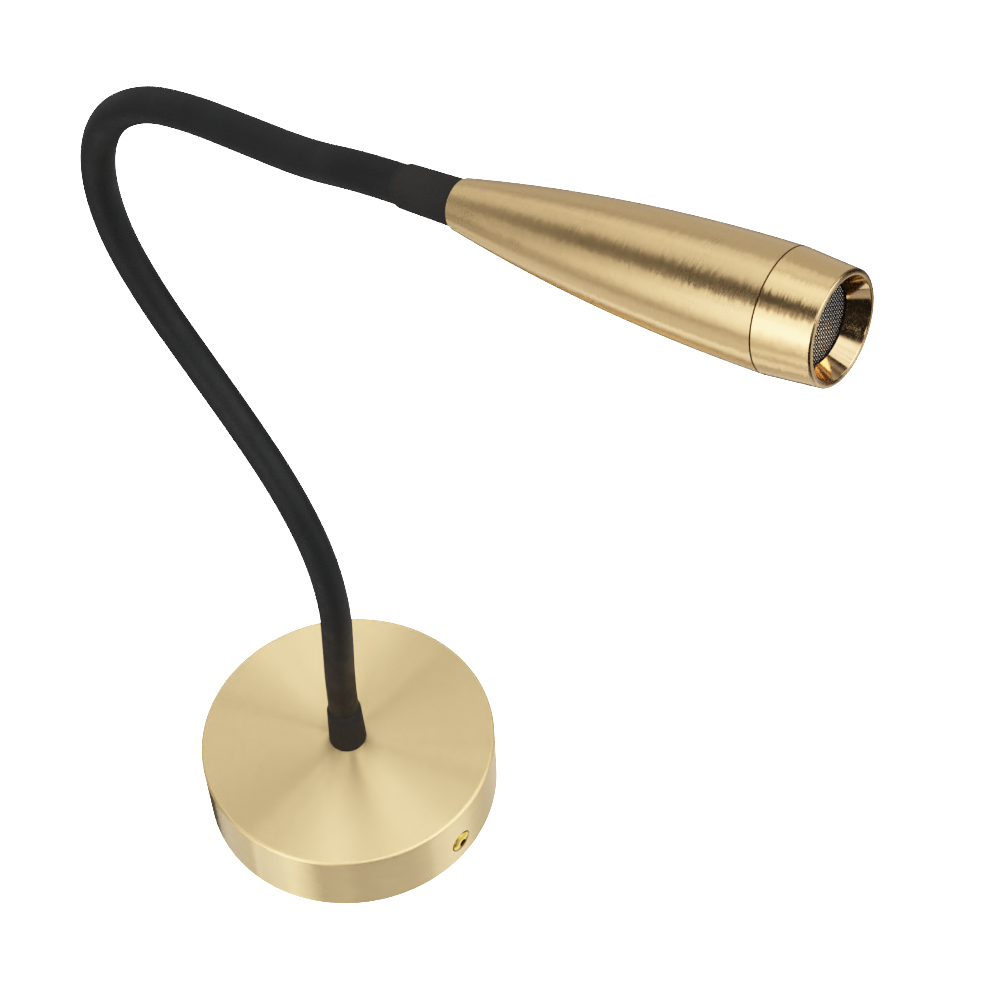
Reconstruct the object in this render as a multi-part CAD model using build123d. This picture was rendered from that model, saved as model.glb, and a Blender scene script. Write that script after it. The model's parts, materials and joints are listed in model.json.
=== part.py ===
from build123d import *
import os
from math import cos, sin, radians, degrees, sqrt, pi

# Bedside wall reading lamp: round wall canopy, flexible neck, slim spot head.
# Millimetres. Wall face on the plane Y = 0, the lamp stands out along -Y, +Z up,
# +X to the right of somebody facing the wall. Origin: centre of the wall face.

# ---------------------------------------------------------------- driving dimensions
CANOPY_D = 100.0          # canopy outer diameter
CANOPY_DEPTH = 26.0       # wall face to canopy front
CANOPY_WALL = 1.6         # spun sheet
CANOPY_EDGE_R = 1.0       # outer front edge radius
SCREW_DEPTH = 9.9         # side screws' distance from the wall
SLOT_SPACING = 60.0       # wall slots, centre to centre
SLOT_W = 4.6
SLOT_L = 12.0
CABLE_ENTRY_D = 14.0      # supply entry hole of the bracket

NECK_D = 10.0             # sleeve outside
SLEEVE_WALL = 1.2
CORE_D = 7.4              # interlocked steel hose
CORE_BORE = 5.2
CABLE_D = 3.6             # twin LED cable in the hose
COLLAR_L = 18.0           # both collars
LOWER_COLLAR_D = (12.7, 11.5)   # canopy end, neck end
UPPER_COLLAR_D = (11.7, 11.05)  # head end, neck end

NECK_STRAIGHT_IN = 20.0   # straight run out of the canopy
NECK_STRAIGHT_OUT = 19.0  # straight run into the head
ARC_L = 23.189            # length of each tangent arc between them
# each arc's bend in degrees: (towards "up", towards "right") of the carried section
NECK_BENDS = [(-5.60, -1.74), (2.92, 2.19), (16.96, 2.38), (17.95, 0.40), (13.07, 0.51), (4.04, 0.13),
              (-5.60, -2.62), (-15.20, -1.86), (-23.18, 0.56), (-27.54, -0.92), (-26.73, -1.94), (-17.25, -5.02),
              (-10.13, 1.66), (-1.78, 1.17), (13.32, -3.91), (-14.98, 8.83)]
HINGE_FIRST = 39.0        # first and last bending place along the neck
HINGE_LAST = 371.0
HINGES = 8
CORE_GAP = 4.0            # free length of hose at each bending place

HEAD_L = 101.8            # head, rear face to lip
SHELL_L = 87.95           # rear face to the seam
HEAD_REAR_R = 6.34
SEAM_R = 14.30
LIP_R = 13.13
LIP_IN_R = 11.60
MESH_R = 9.33             # visible mesh
MESH_AT = 97.06           # mesh front plane, from the rear face
BELLY = 2.02              # how far the shell's side bulges from a straight cone

NECK_L = NECK_STRAIGHT_IN + ARC_L * len(NECK_BENDS) + NECK_STRAIGHT_OUT


# ---------------------------------------------------------------- neck centreline
def v3(a, b=None, c=None):
    return Vector(a, b, c) if b is not None else Vector(*a)


def spin(v, k, a):
    """v turned by a radians about the unit axis k."""
    return v * cos(a) + k.cross(v) * sin(a) + k * (k.dot(v) * (1 - cos(a)))


SEGS = []                 # (s0, length, point, tangent, up, right, normal, curvature)
p, t, up, rt = Vector(0, -CANOPY_DEPTH, 0), Vector(0, -1, 0), Vector(0, 0, 1), Vector(1, 0, 0)
SEGS.append((0.0, NECK_STRAIGHT_IN, p, t, up, rt, None, 0.0))
p, s = p + t * NECK_STRAIGHT_IN, NECK_STRAIGHT_IN
for b_up, b_rt in NECK_BENDS:
    k = (up * radians(b_up) + rt * radians(b_rt)) * (1 / ARC_L)
    c = k.length
    n = k * (1 / c)
    SEGS.append((s, ARC_L, p, t, up, rt, n, c))
    a, ax = c * ARC_L, t.cross(n)
    p = p + t * (sin(a) / c) + n * ((1 - cos(a)) / c)
    t, up, rt, s = spin(t, ax, a), spin(up, ax, a), spin(rt, ax, a), s + ARC_L
SEGS.append((s, NECK_STRAIGHT_OUT, p, t, up, rt, None, 0.0))


def station(s):
    """Point, tangent, up and right of the neck at length s from the canopy front."""
    seg = SEGS[0]
    for q in SEGS:
        if s >= q[0]:
            seg = q
    s0, _, p, t, up, rt, n, c = seg
    d = s - s0
    if c == 0:
        return p + t * d, t, up, rt
    a, ax = c * d, t.cross(n)
    return (p + t * (sin(a) / c) + n * ((1 - cos(a)) / c), spin(t, ax, a), spin(up, ax, a), spin(rt, ax, a))


def disc(s, ro, ri=0.0):
    p, t, up, rt = station(s)
    pl = Plane(origin=p, x_dir=rt, z_dir=t)
    outer = Wire.make_circle(ro, pl)
    return Face(outer, [Wire.make_circle(ri, pl)]) if ri else Face(outer)


def along(s0, s1, ro, ri=0.0):
    """Tube or rod that follows the neck from s0 to s1: straight runs and tangent arcs."""
    cuts = [s0] + [q[0] for q in SEGS[1:] if s0 + 1e-6 < q[0] < s1 - 1e-6] + [s1]
    body = None
    for a, b in zip(cuts, cuts[1:]):
        seg = [q for q in SEGS if q[0] <= a + 1e-6][-1]
        face = disc(a + 1e-9, ro, ri)
        pt, tg, _, _ = station(a + 1e-9)
        if seg[7] == 0:
            piece = Solid.extrude(face, tg * (b - a))
        else:
            ax = seg[3].cross(seg[6])
            nrm = spin(seg[6], ax, seg[7] * (a - seg[0]))
            piece = Solid.revolve(face, degrees(seg[7] * (b - a)), Axis(pt + nrm * (1 / seg[7]), ax))
        body = piece if body is None else body.fuse(piece)
    return body


HINGE_S = [HINGE_FIRST + (HINGE_LAST - HINGE_FIRST) * i / (HINGES - 1) for i in range(HINGES)]
half = (HINGE_S[1] - HINGE_S[0]) / 2
CUTS = [HINGE_S[0] - half] + [(a + b) / 2 for a, b in zip(HINGE_S, HINGE_S[1:])] + [HINGE_S[-1] + half]


# ---------------------------------------------------------------- helpers
def cyl(r, z0, z1, x=0.0, y=0.0):
    return Pos(x, y, z0) * Cylinder(r, z1 - z0, align=(Align.CENTER, Align.CENTER, Align.MIN))


def cyl_y(r, y0, y1, x=0.0, z=0.0):
    return Pos(x, y0, z) * Rot(-90, 0, 0) * Cylinder(r, y1 - y0, align=(Align.CENTER, Align.CENTER, Align.MIN))


def cyl_x(r, x0, x1, y=0.0, z=0.0):
    return Pos(x0, y, z) * Rot(0, 90, 0) * Cylinder(r, x1 - x0, align=(Align.CENTER, Align.CENTER, Align.MIN))


def block(x0, x1, y0, y1, z0, z1):
    return Pos((x0 + x1) / 2, (y0 + y1) / 2, (z0 + z1) / 2) * Box(x1 - x0, y1 - y0, z1 - z0)


def lathe(points):
    """Solid of revolution about Z from (radius, z) points; a point may be ("arc", via, end)."""
    edges, last, first = [], None, None
    for q in points:
        if q[0] == "arc":
            edges.append(Edge.make_three_point_arc(v3((last[0], 0, last[1])), v3((q[1][0], 0, q[1][1])), v3((q[2][0], 0, q[2][1]))))
            last = q[2]
            continue
        if last is not None:
            edges.append(Edge.make_line(v3((last[0], 0, last[1])), v3((q[0], 0, q[1]))))
        else:
            first = q
        last = q
    edges.append(Edge.make_line(v3((last[0], 0, last[1])), v3((first[0], 0, first[1]))))
    return Solid.revolve(Face(Wire(edges)), 360, Axis.Z)


def fil(cr, cz, r, quadrant):
    """Mid point of a quarter round about (cr, cz)."""
    a = radians({"+r+z": 45, "-r+z": 135, "-r-z": 225, "+r-z": 315}[quadrant])
    return (cr + r * cos(a), cz + r * sin(a))


def hexagon(af, z0, z1):
    return Pos(0, 0, z0) * extrude(RegularPolygon(af / sqrt(3), 6), z1 - z0)


def wire_tube(points, radii, d):
    path = FilletPolyline(*points, radius=radii) if len(points) > 2 else Line(*points)
    start = Plane(origin=path @ 0, z_dir=path % 0)
    solid = sweep(start * Circle(d / 2), path=path)
    want = pi * d * d / 4 * path.length
    print("tube", round(path.length, 1), "mm, volume ratio", round(solid.volume / want, 4))
    return solid


# canopy frame: x right, y up, z out of the wall
BASE = Location(Plane(origin=(0, 0, 0), x_dir=(1, 0, 0), z_dir=(0, -1, 0)))
# head frame: z along the head from its rear face to the lip
hp, ht, hup, hrt = station(NECK_L)
HEAD = Location(Plane(origin=hp, x_dir=hrt, z_dir=ht))
# upper collar and ferrule share the head frame, lower ones the canopy frame

NODES = {}


def put(name, *solids, at=None):
    out = []
    for q in solids:
        for r in (q.solids() if hasattr(q, "solids") else [q]):
            out.append(r.moved(at) if at is not None else r)
    NODES[name] = out


# ---------------------------------------------------------------- wall canopy
R, D, W, E = CANOPY_D / 2, CANOPY_DEPTH, CANOPY_WALL, CANOPY_EDGE_R
RI = R - W
cover = lathe([(4.1, D), (R - E, D), ("arc", fil(R - E, D - E, E, "+r+z"), (R, D - E)), (R, 0.25),
               (R - 0.25, 0), (RI, 0), (RI, D - W - 0.6), ("arc", fil(RI - 0.6, D - W - 0.6, 0.6, "+r+z"), (RI - 0.6, D - W)),
               (4.1, D - W)])
SINK = 4.0                                        # countersink radius at the canopy's skin
cone = lathe([(0, R - 3), (2.35, R - 3), (2.35, R - 1.65), (SINK + 0.3, R + 0.3), (0, R + 0.3)])
for turn in (90, -90):
    cover = cover - Pos(0, 0, SCREW_DEPTH) * Rot(turn, 0, 0) * cone
put("canopy_cover", cover, at=BASE)

# bracket: crossbar with a tapped ear at each end, terminal tab at the left
EAR_Y, EAR_T = 47.2, 2.0
bar = block(-11, 11, -40, 40, 0, 2) + block(-8, 8, -EAR_Y, EAR_Y, 0, 2) + block(-34, -10, -13.5, 13.5, 0, 2)
bar += block(-8, 8, EAR_Y - EAR_T, EAR_Y, 0, 16) + block(-8, 8, -EAR_Y, -EAR_Y + EAR_T, 0, 16)
bar -= cyl(CABLE_ENTRY_D / 2, -1, 3)
for sy in (-1, 1):
    slot = block(-SLOT_W / 2, SLOT_W / 2, sy * SLOT_SPACING / 2 - (SLOT_L - SLOT_W) / 2, sy * SLOT_SPACING / 2 + (SLOT_L - SLOT_W) / 2, -1, 3)
    slot += cyl(SLOT_W / 2, -1, 3, 0, sy * SLOT_SPACING / 2 - (SLOT_L - SLOT_W) / 2)
    slot += cyl(SLOT_W / 2, -1, 3, 0, sy * SLOT_SPACING / 2 + (SLOT_L - SLOT_W) / 2)
    bar -= slot
bar -= cyl_y(2.02, -60, 60, 0, SCREW_DEPTH)
EARTH_Y = -15.8
bar -= cyl(2.02, -1, 3, 0, EARTH_Y)
FIX = (-24.0, 4.0)
bar -= cyl(1.52, -1, 3, *FIX)
put("wall_bracket", bar, at=BASE)

# raised countersunk side screws, hex socket
HR = 3.8
side = lathe([(0, 40), (2.0 - 0.02, 40), (2.0 - 0.02, R - 0.1 - (HR - 1.98)), (HR, R - 0.1), (HR, R),
              ("arc", (HR * 0.55, R + 0.72), (0, R + 1.0))])
side = side - extrude(Pos(0, 0, R - 0.9) * RegularPolygon(2.5 / sqrt(3), 6), 3)
put("canopy_side_screws", Pos(0, 0, SCREW_DEPTH) * Rot(90, 0, 0) * side, Pos(0, 0, SCREW_DEPTH) * Rot(-90, 0, 0) * side, at=BASE)

# earth point
lug = cyl(4.0, 2.02, 2.8, 0, EARTH_Y) + block(-6.5, 0, EARTH_Y - 1.6, EARTH_Y + 1.6, 2.02, 2.8)
lug += cyl_x(1.7, -9.6, -4.4, EARTH_Y, 3.75)
lug -= cyl(2.15, 0, 5, 0, EARTH_Y)
lug -= cyl_x(1.02, -10, -5.2, EARTH_Y, 3.75)
put("earth_lug", lug, at=BASE)
es = cyl(1.98, 0.1, 3.2, 0, EARTH_Y) + cyl(4.1, 2.82, 5.6, 0, EARTH_Y)
es -= block(-0.5, 0.5, EARTH_Y - 5, EARTH_Y + 5, 4.4, 6)
put("earth_screw", es, at=BASE)

# three way terminal block
POLES = (-8.0, 0.0, 8.0)
tb = block(-32, -16, -12.5, 12.5, 2.02, 15)
clamps, tscrews = [], []
for y in POLES:
    tb -= cyl_x(2.12, -33, -15, y, 7.2)
    tube = cyl_x(2.1, -31.2, -16.8, y, 7.2) - cyl_x(1.3, -32, -16, y, 7.2)
    for x in (-28.2, -19.8):
        tb -= cyl(1.75, 7.2, 16, x, y)
        tube -= cyl(1.27, 7.2, 12, x, y)
        sc = cyl(1.25, 8.2, 9.6, x, y) + cyl(1.65, 9.6, 12.6, x, y) - block(x - 0.3, x + 0.3, y - 3, y + 3, 11.7, 13)
        tscrews.append(sc)
    clamps.append(tube)
tb -= cyl(1.6, 0, 16, *FIX)
tb -= cyl(2.9, 12, 16, *FIX)
put("terminal_block", tb, at=BASE)
put("terminal_clamps", *clamps, at=BASE)
put("terminal_screws", *tscrews, at=BASE)
fs = cyl(1.5, 0.1, 12.0, *FIX) + cyl(2.7, 12.02, 14.4, *FIX) + cyl(1.5, 11, 12.5, *FIX)
fs -= block(FIX[0] - 0.4, FIX[0] + 0.4, FIX[1] - 3, FIX[1] + 3, 13.4, 15)
put("terminal_fixing_screw", fs, at=BASE)

# LED driver: case, lid, board and its parts, held by a foam tape
DX0, DX1, DY, DZ0, DZ1 = 14.0, 40.0, 22.0, 4.9, 23.4
case = block(DX0, DX1, -DY, DY, DZ0 + 1.5, DZ1) - block(DX0 + 1.4, DX1 - 1.4, -DY + 1.4, DY - 1.4, DZ0, DZ1 - 1.4)
HOLES = ((12.0, 10.0, 1.05), (-12.0, 10.0, 1.05), (0.0, 9.4, 1.85))
for y, z, r in HOLES:
    case -= cyl_x(r, DX0 - 1, DX0 + 2, y, z)
put("driver_case", case, at=BASE)
lid = block(DX0, DX1, -DY, DY, DZ0, DZ0 + 1.48) + block(DX0 + 1.5, DX1 - 1.5, -DY + 1.5, DY - 1.5, DZ0 + 1.4, DZ0 + 2.6)
lid -= block(DX0 + 2.7, DX1 - 2.7, -DY + 2.7, DY - 2.7, DZ0 + 1.5, DZ0 + 3)
put("driver_lid", lid, at=BASE)
put("driver_board", block(DX0 + 1.6, DX1 - 1.6, -DY + 1.6, DY - 1.6, 17.6, 18.8), at=BASE)
xm = (DX0 + DX1) / 2
core_t = block(xm - 6, xm + 6, -6, 6, 9.4, 17.58)
cap = cyl(4.0, 8.6, 17.58, xm, 13.5)
cap2 = cyl(3.2, 9.6, 17.58, xm + 2.5, -13.5)
chip = block(xm - 8.5, xm - 4.5, -16.5, -10.5, 15.6, 17.58)
choke = cyl(2.6, 11.0, 17.58, xm - 7.2, 9.2)
put("driver_components", core_t, cap, cap2, chip, choke, at=BASE)
put("driver_tape", block(DX0 + 4, DX1 - 4, -17, 17, DZ1 + 0.01, D - W - 0.01), at=BASE)

# leads between terminal block, driver and earth point
ml = []
for sy, y1 in ((1, 12.0), (-1, -12.0)):
    pts = [(-17.4, 8.0 * sy, 7.2), (-9.0, 8.0 * sy, 7.2), (5.0, y1, 10.0), (DX0 + 4.5, y1, 10.0)]
    ml.append(wire_tube(pts, 7.0, 2.0))
put("mains_leads", *ml, at=BASE)
el = wire_tube([(-17.4, 0, 7.2), (-12.7, 0, 7.2), (-12.7, -5.6, 3.75), (-12.7, EARTH_Y, 3.75), (-5.4, EARTH_Y, 3.75)],
               [2.4, 4.0, 3.0], 2.0)
put("earth_lead", el, at=BASE)

# neck fixing: ferrule crimped on the hose, screwed through the canopy
CR = CORE_D / 2
bf = lathe([(2.5, D - 12), (3.99, D - 12), (3.99, D + 0.01), (5.0, D + 0.01), (5.0, D + 2), (4.5, D + 2), (4.5, D + 14),
            (CR + 0.02, D + 14), (CR + 0.02, D + 4), (2.5, D + 4)])
put("base_ferrule", bf, at=BASE)
nut = hexagon(13.0, D - 11.0, D - W - 1.8) - cyl(4.01, 0, 30)
put("base_nut", nut, at=BASE)
wash = cyl(6.9, D - W - 1.78, D - W - 0.02) - cyl(4.15, 0, 30)
wash -= block(0, 10, -0.5, 0.5, 0, 30)
put("base_lock_washer", wash, at=BASE)
c0, c1 = LOWER_COLLAR_D[0] / 2, LOWER_COLLAR_D[1] / 2
NR = NECK_D / 2
F = 0.8                                           # collar shoulder radius
lc = lathe([(5.06, D + 0.02), (c0 - 0.3, D + 0.02), (c0, D + 0.32), (c1 + 0.02, D + COLLAR_L - F),
            ("arc", fil(c1 - F, D + COLLAR_L - F, F, "+r+z"), (c1 - F + 0.2, D + COLLAR_L)),
            (NR + 0.03, D + COLLAR_L), (NR + 0.03, D + 14.4), (4.54, D + 14.4), (4.54, D + 2.1), (5.06, D + 2.1)])
put("lower_collar", lc, at=BASE)

# ---------------------------------------------------------------- neck
core_ends = [D * 0 + 4.1] + [q for h in HINGE_S for q in (h - CORE_GAP / 2, h + CORE_GAP / 2)] + [NECK_L - 4.1]
for i in range(HINGES + 1):
    put(f"neck_core_{i + 1}", along(core_ends[2 * i], core_ends[2 * i + 1], CR, CORE_BORE / 2))
for i in range(HINGES):
    put(f"neck_sleeve_{i + 1}", along(CUTS[i] + (0.02 if i else 0), CUTS[i + 1], NR, NR - SLEEVE_WALL))
# twin cable: bend out of the driver, then along the hose, ending in the head
KR = CABLE_D / 2
lead_in = wire_tube([(DX0 + 5.0, 0, 9.4), (0, 0, 9.4), (0, 0, D + CUTS[0])], 6.0, CABLE_D)
HEAD_RUN = 14.0                                   # how far the cable reaches into the head
for i in range(HINGES):
    if i == 0:
        first = lead_in.solids()[0].moved(BASE)
        body = first.fuse(along(CUTS[0], CUTS[1], KR))
    elif i == HINGES - 1:
        body = along(CUTS[i] + 0.02, NECK_L + HEAD_RUN, KR)
    else:
        body = along(CUTS[i] + 0.02, CUTS[i + 1], KR)
    put(f"led_cable_{i + 1}", body)

# ---------------------------------------------------------------- head
SL, SR, R0 = SHELL_L, SEAM_R, HEAD_REAR_R
um = 0.5
mid = ((R0 + SR) / 2 + BELLY, SL * um)


def shell_r(z):
    """Outer radius of the shell at z, from the circle through its three points."""
    (x1, y1), (x2, y2), (x3, y3) = (R0, 0.0), mid, (SR, SL)
    a = x1 * (y2 - y3) - y1 * (x2 - x3) + x2 * y3 - x3 * y2
    bb = (x1 ** 2 + y1 ** 2) * (y3 - y2) + (x2 ** 2 + y2 ** 2) * (y1 - y3) + (x3 ** 2 + y3 ** 2) * (y2 - y1)
    cc = (x1 ** 2 + y1 ** 2) * (x2 - x3) + (x2 ** 2 + y2 ** 2) * (x3 - x1) + (x3 ** 2 + y3 ** 2) * (x1 - x2)
    cx, cy = -bb / (2 * a), -cc / (2 * a)
    rr = sqrt((x1 - cx) ** 2 + (y1 - cy) ** 2)
    return cx + sqrt(rr ** 2 - (z - cy) ** 2)


print("shell radius at 0, 30, 60, 88:", [round(shell_r(z), 2) for z in (0, 30, 60, SL)])
E0 = 0.35                                         # rear edge round
shell = lathe([(4.02, 0), (R0 - E0, 0), ("arc", (R0 - E0 + E0 * 0.72, 0.1), (shell_r(E0), E0)),
               ("arc", (shell_r(44), 44.0), (shell_r(SL - 0.12), SL - 0.12)), (SR - 0.14, SL), (12.5, SL), (12.5, 79.0),
               (11.02, 79.0), (11.02, 47.0), (6.2, 12.0), (4.02, 12.0)])
put("head_shell", shell, at=HEAD)
# ferrule screwed into the shell's rear
hf = lathe([(2.5, -4), (CR + 0.02, -4), (CR + 0.02, -14), (4.5, -14), (4.5, -2), (5.0, -2), (5.0, -0.01), (3.99, -0.01), (3.99, 11), (2.5, 11)])
put("head_ferrule", hf, at=HEAD)
u0, u1 = UPPER_COLLAR_D[0] / 2, UPPER_COLLAR_D[1] / 2
L = COLLAR_L
uc = lathe([(5.06, -0.02), (u0, -0.02), (u1, -L + 0.5), ("arc", fil(u1 - 0.45, -L + 0.45, 0.45, "+r-z"), (u1 - 0.45, -L)),
            (NR + 0.03, -L), (NR + 0.03, -14.4), (4.54, -14.4), (4.54, -2.1), (5.06, -2.1)])
put("upper_collar", uc, at=HEAD)

# light engine
hs = lathe([(0, 52), (11.0, 52), (11.0, 56), (8.2, 56), (8.2, 58), (11.0, 58), (11.0, 61), (8.2, 61), (8.2, 63), (11.0, 63),
            (11.0, 66), (8.2, 66), (8.2, 68), (11.0, 68), (11.0, 77.98), (0, 77.98)])
for x in (-6.2, 6.2):
    hs -= cyl(1.2, 50, 80, x, 0)
for y in (-7.6, 7.6):
    hs -= cyl(1.02, 70, 80, 0, y)
put("heat_sink", hs, at=HEAD)
board = cyl(10.0, 78.0, 79.6)
for y in (-7.6, 7.6):
    board -= cyl(1.15, 77, 80, 0, y)
for x in (-6.2, 6.2):
    board -= cyl(0.9, 77, 80, x, 0)
put("led_board", board, at=HEAD)
put("led_chip", block(-3.5, 3.5, -3.5, 3.5, 79.62, 80.0) + cyl(2.9, 80.0, 80.5), at=HEAD)
bs = []
for y in (-7.6, 7.6):
    q = cyl(1.0, 72, 80.0, 0, y) + cyl(1.8, 79.62, 80.8, 0, y) - block(-0.3, 0.3, y - 2, y + 2, 80.3, 81.5)
    bs.append(q)
put("board_screws", *bs, at=HEAD)
lh = lathe([(9.9, 81.2), (10.45, 81.2), (10.45, 93.6), (9.3, 93.6), (9.3, 92.7), (9.9, 92.7)])
feet = lathe([(9.9, 79.62), (10.45, 79.62), (10.45, 81.3), (9.9, 81.3)]) - block(-20, 20, -4, 4, 79, 81.2) - block(-4, 4, -20, 20, 79, 81.2)
put("lens_holder", lh + feet, at=HEAD)
lens = lathe([(0, 82.2), (2.9, 82.2), (2.9, 81.0), (3.5, 81.0), ("arc", (7.4, 85.2), (9.0, 90.8)), (9.85, 90.8), (9.85, 92.66), (0, 92.66)])
put("tir_lens", lens, at=HEAD)
ring = lathe([(9.1, 93.7), (10.52, 93.7), (10.52, 95.9), (9.1, 95.9)])
put("mesh_retaining_ring", ring, at=HEAD)
# front guard: round perforated disc, square holes on a 2 mm pitch
guard = cyl(10.5, 95.92, 96.55)
holes = []
PITCH, HOLE = 2.2, 1.5
n = int(9.0 / PITCH) + 1
for i in range(-n, n + 1):
    for j in range(-n, n + 1):
        x, y = i * PITCH, j * PITCH
        if sqrt((abs(x) + HOLE / 2) ** 2 + (abs(y) + HOLE / 2) ** 2) < 8.9:
            holes.append(block(x - HOLE / 2, x + HOLE / 2, y - HOLE / 2, y + HOLE / 2, 95, 97.5))
guard = guard - holes
put("anti_glare_mesh", guard, at=HEAD)
bz = lathe([(SR - 0.14, SL + 0.12), (SR - 0.02, SL + 0.26), (LIP_R, HEAD_L - 0.55),
            ("arc", (LIP_R - 0.16, HEAD_L - 0.16), (LIP_R - 0.55, HEAD_L)),
            (LIP_IN_R + 0.3, HEAD_L), ("arc", (LIP_IN_R + 0.06, HEAD_L - 0.1), (LIP_IN_R - 0.06, HEAD_L - 0.4)),
            (MESH_R, MESH_AT), (MESH_R, 96.57), (10.6, 96.57), (10.6, 80.2), (12.46, 80.2),
            (12.46, 84.9), (11.65, 84.9), (11.65, 86.1), (12.46, 86.1), (12.46, SL + 0.12)])
put("front_bezel", bz, at=HEAD)
put("bezel_o_ring", Solid.make_torus(12.07, 0.40).moved(Location((0, 0, 85.5))), at=HEAD)
leads = []
for x in (-6.2, 6.2):
    w = wire_tube([(0.95 if x > 0 else -0.95, 0, HEAD_RUN + 0.05), (0.95 if x > 0 else -0.95, 0, HEAD_RUN + 5.0),
                   (x, 0, HEAD_RUN + 24.0), (x, 0, 79.6)], [14.0, 14.0], 1.3)
    leads.append(w)
put("led_leads", *leads, at=HEAD)

# ---------------------------------------------------------------- write
os.makedirs("parts", exist_ok=True)
for old in os.listdir("parts"):
    if old.endswith(".step") and old[:-5] not in NODES:
        os.remove(os.path.join("parts", old))
for name, solids in NODES.items():
    shape = solids[0] if len(solids) == 1 else Compound(children=solids)
    shape.label = name
    export_step(shape, f"parts/{name}.step")
print(len(NODES), "nodes; neck", round(NECK_L, 2), "mm; head rear at", [round(q, 2) for q in (hp.X, hp.Y, hp.Z)],
      "axis", [round(q, 4) for q in (ht.X, ht.Y, ht.Z)])
for i, h in enumerate(HINGE_S):
    p, t, up, rt = station(h)
    ax = up if i % 2 == 0 else rt
    print("hinge", i + 1, "s", round(h, 2), "pos_m", [round(q / 1000, 6) for q in (p.X, p.Y, p.Z)], "axis",
          [round(q, 6) for q in (ax.X, ax.Y, ax.Z)], "t", [round(q, 4) for q in (t.X, t.Y, t.Z)])
print("cuts", [round(q, 2) for q in CUTS])
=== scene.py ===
import json
import math

import bpy
import numpy as np
from mathutils import Matrix, Vector

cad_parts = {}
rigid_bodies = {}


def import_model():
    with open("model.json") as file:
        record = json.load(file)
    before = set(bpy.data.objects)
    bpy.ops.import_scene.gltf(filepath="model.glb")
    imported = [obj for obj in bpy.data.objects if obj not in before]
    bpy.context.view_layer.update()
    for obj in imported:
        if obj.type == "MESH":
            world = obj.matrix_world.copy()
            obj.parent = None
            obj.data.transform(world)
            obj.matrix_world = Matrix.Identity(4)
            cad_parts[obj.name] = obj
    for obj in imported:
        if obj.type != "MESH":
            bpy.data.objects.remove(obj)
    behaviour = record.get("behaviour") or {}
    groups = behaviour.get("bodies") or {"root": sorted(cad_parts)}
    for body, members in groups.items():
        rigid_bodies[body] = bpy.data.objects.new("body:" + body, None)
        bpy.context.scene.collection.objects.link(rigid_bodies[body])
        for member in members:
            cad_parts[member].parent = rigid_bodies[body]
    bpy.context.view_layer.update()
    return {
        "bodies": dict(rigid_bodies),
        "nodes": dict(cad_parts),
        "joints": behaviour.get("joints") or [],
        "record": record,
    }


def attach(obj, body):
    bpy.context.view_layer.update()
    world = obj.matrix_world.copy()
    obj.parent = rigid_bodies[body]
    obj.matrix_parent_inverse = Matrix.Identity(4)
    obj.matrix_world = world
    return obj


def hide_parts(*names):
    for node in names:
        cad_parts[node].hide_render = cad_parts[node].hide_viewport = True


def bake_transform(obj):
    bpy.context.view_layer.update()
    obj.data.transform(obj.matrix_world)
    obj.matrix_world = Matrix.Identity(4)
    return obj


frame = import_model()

# Bedside wall reading lamp: materials, fine geometry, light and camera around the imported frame.
# Lengths below are millimetres and are scaled to metres when a mesh is made.
MM = 0.001
NODES = frame["nodes"]

# ------------------------------------------------------------------ sizes shared with the CAD
CANOPY_DEPTH = 26.0
NECK_R, SLEEVE_IN_R = 5.0, 3.8
CORE_R, CORE_BORE_R = 3.7, 2.6
CABLE_R = 1.8
NECK_STRAIGHT_IN, NECK_STRAIGHT_OUT, ARC_L = 20.0, 19.0, 23.189
NECK_BENDS = [(-5.60, -1.74), (2.92, 2.19), (16.96, 2.38), (17.95, 0.40), (13.07, 0.51), (4.04, 0.13),
              (-5.60, -2.62), (-15.20, -1.86), (-23.18, 0.56), (-27.54, -0.92), (-26.73, -1.94), (-17.25, -5.02),
              (-10.13, 1.66), (-1.78, 1.17), (13.32, -3.91), (-14.98, 8.83)]
HINGES, HINGE_FIRST, HINGE_LAST = 8, 39.0, 371.0
HEAD_L, SHELL_L = 101.8, 87.95
HEAD_REAR_R, SEAM_R, LIP_R, LIP_IN_R, MESH_R, MESH_AT, BELLY = 6.34, 14.30, 13.13, 11.60, 9.33, 97.06, 2.02
NECK_L = NECK_STRAIGHT_IN + ARC_L * len(NECK_BENDS) + NECK_STRAIGHT_OUT


# ------------------------------------------------------------------ neck centreline
def spin(v, k, a):
    return v * math.cos(a) + k.cross(v) * math.sin(a) + k * (k.dot(v) * (1 - math.cos(a)))


SEGS = []
p, t, up, rt = Vector((0, -CANOPY_DEPTH, 0)), Vector((0, -1, 0)), Vector((0, 0, 1)), Vector((1, 0, 0))
SEGS.append((0.0, p, t, up, rt, None, 0.0))
p, s = p + t * NECK_STRAIGHT_IN, NECK_STRAIGHT_IN
for b_up, b_rt in NECK_BENDS:
    k = (up * math.radians(b_up) + rt * math.radians(b_rt)) / ARC_L
    c = k.length
    n = k / c
    SEGS.append((s, p, t, up, rt, n, c))
    a, ax = c * ARC_L, t.cross(n)
    p = p + t * (math.sin(a) / c) + n * ((1 - math.cos(a)) / c)
    t, up, rt, s = spin(t, ax, a), spin(up, ax, a), spin(rt, ax, a), s + ARC_L
SEGS.append((s, p, t, up, rt, None, 0.0))


def station(s):
    """Point, tangent, up and right of the neck at length s from the canopy front, in millimetres."""
    seg = SEGS[0]
    for q in SEGS:
        if s >= q[0]:
            seg = q
    s0, p, t, up, rt, n, c = seg
    d = s - s0
    if c == 0:
        return p + t * d, t, up, rt
    a, ax = c * d, t.cross(n)
    return p + t * (math.sin(a) / c) + n * ((1 - math.cos(a)) / c), spin(t, ax, a), spin(up, ax, a), spin(rt, ax, a)


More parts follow.
